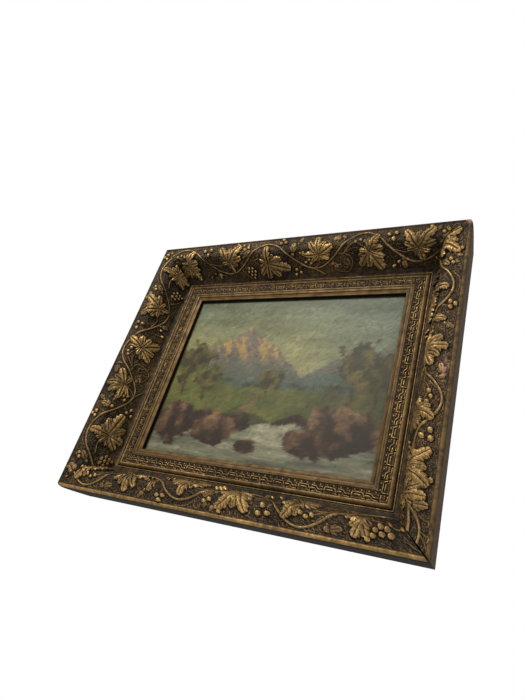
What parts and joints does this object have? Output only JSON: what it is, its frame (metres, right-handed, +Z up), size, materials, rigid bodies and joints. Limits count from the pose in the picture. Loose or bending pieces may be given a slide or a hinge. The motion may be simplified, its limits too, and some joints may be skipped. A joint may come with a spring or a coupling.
{
  "type": "framed oil painting",
  "caption": "Landscape oil painting on canvas in a deep gilt frame with a running grape vine, a beaded inner edge and a smooth gilt slip, made to hang on a wall.",
  "frame": {"origin": "middle of the flat back of the top rail, where the frame meets the wall", "axes": "+Y into the wall, +X to the viewer's right, +Z up"},
  "size_m": [0.664, 0.0871, 0.565],
  "materials": {
    "frame_gilding": "composition ornament, bronzed and rubbed gold over dark umber, worn",
    "slip_gilding": "gilt wood, satin, dulled by age",
    "painted_canvas": "oil paint on primed canvas, satin varnish",
    "bare_wood": "plain aged softwood"
  },
  "bodies": {
    "root": {"rail_top": "frame_gilding", "rail_right": "frame_gilding", "rail_bottom": "frame_gilding", "rail_left": "frame_gilding", "slip_top": "slip_gilding", "slip_right": "slip_gilding", "slip_bottom": "slip_gilding", "slip_left": "slip_gilding", "canvas": "painted_canvas", "stretcher_top": "bare_wood", "stretcher_right": "bare_wood", "stretcher_bottom": "bare_wood", "stretcher_left": "bare_wood"}
  },
  "joints": []
}
